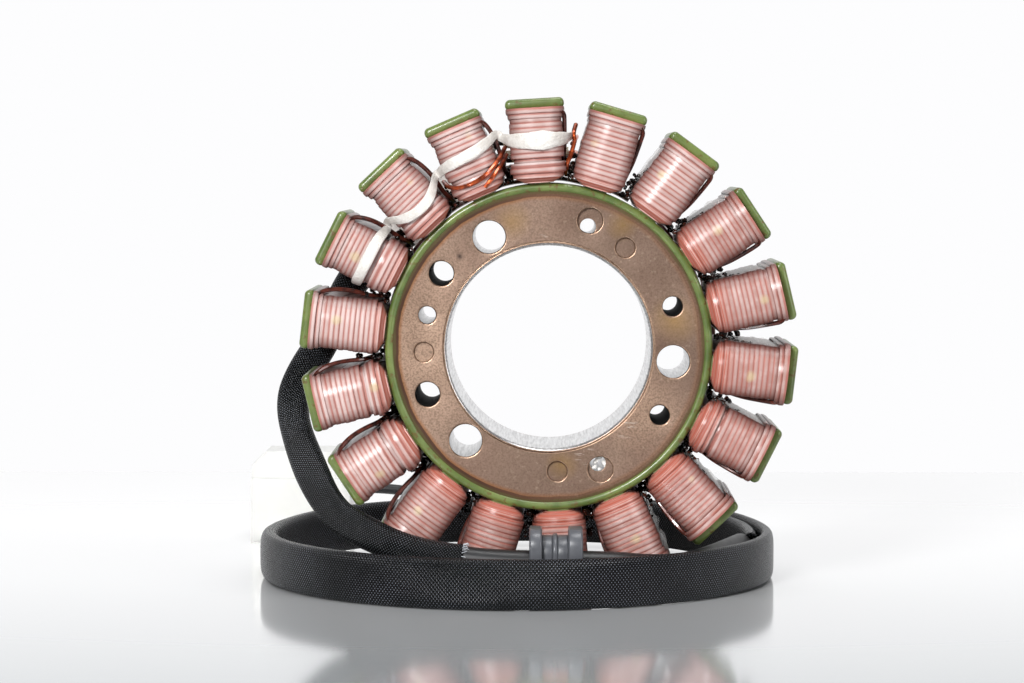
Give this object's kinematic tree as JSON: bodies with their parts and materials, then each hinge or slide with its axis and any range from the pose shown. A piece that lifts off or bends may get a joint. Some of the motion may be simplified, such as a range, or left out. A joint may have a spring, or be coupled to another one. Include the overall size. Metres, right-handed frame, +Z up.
{
  "type": "wound stator",
  "caption": "Laminated ring core with T-shaped poles, each wound with varnished copper wire, and output leads in woven sleeves that end in a plug.",
  "frame": {"origin": "on the floor, below the middle of the stator without its free harness", "axes": "+Z up, +Y from the open face towards the back along the bore, +X to the right seen from the open face"},
  "size_m": [0.13, 0.1432, 0.11],
  "materials": {
    "core": "green epoxy coat with bare oxidised steel on the clamping faces",
    "winding": "varnished enamelled copper wire",
    "lacing": "varnished glass-fibre tape",
    "splice": "varnished glass-fibre sleeve",
    "sleeve": "woven black sleeve",
    "cable": "satin",
    "grommet": "satin",
    "plug": "translucent natural nylon",
    "terminal": "bare brass"
  },
  "bodies": {
    "root": {"lamination_stack": "core", "coil_01": "winding", "coil_02": "winding", "coil_03": "winding", "coil_04": "winding", "coil_05": "winding", "coil_06": "winding", "coil_07": "winding", "coil_08": "winding", "coil_09": "winding", "coil_10": "winding", "coil_11": "winding", "coil_12": "winding", "coil_13": "winding", "coil_14": "winding", "coil_15": "winding", "coil_16": "winding", "coil_17": "winding", "coil_18": "winding", "lacing_tape": "lacing", "splice_sleeve_1": "splice", "splice_sleeve_2": "splice", "splice_sleeve_3": "splice", "upper_sleeve": "sleeve", "lead_cable": "cable", "lead_grommet": "grommet", "lower_sleeve": "sleeve", "plug_lead": "cable", "plug_housing": "plug", "plug_terminals": "terminal"}
  },
  "joints": []
}
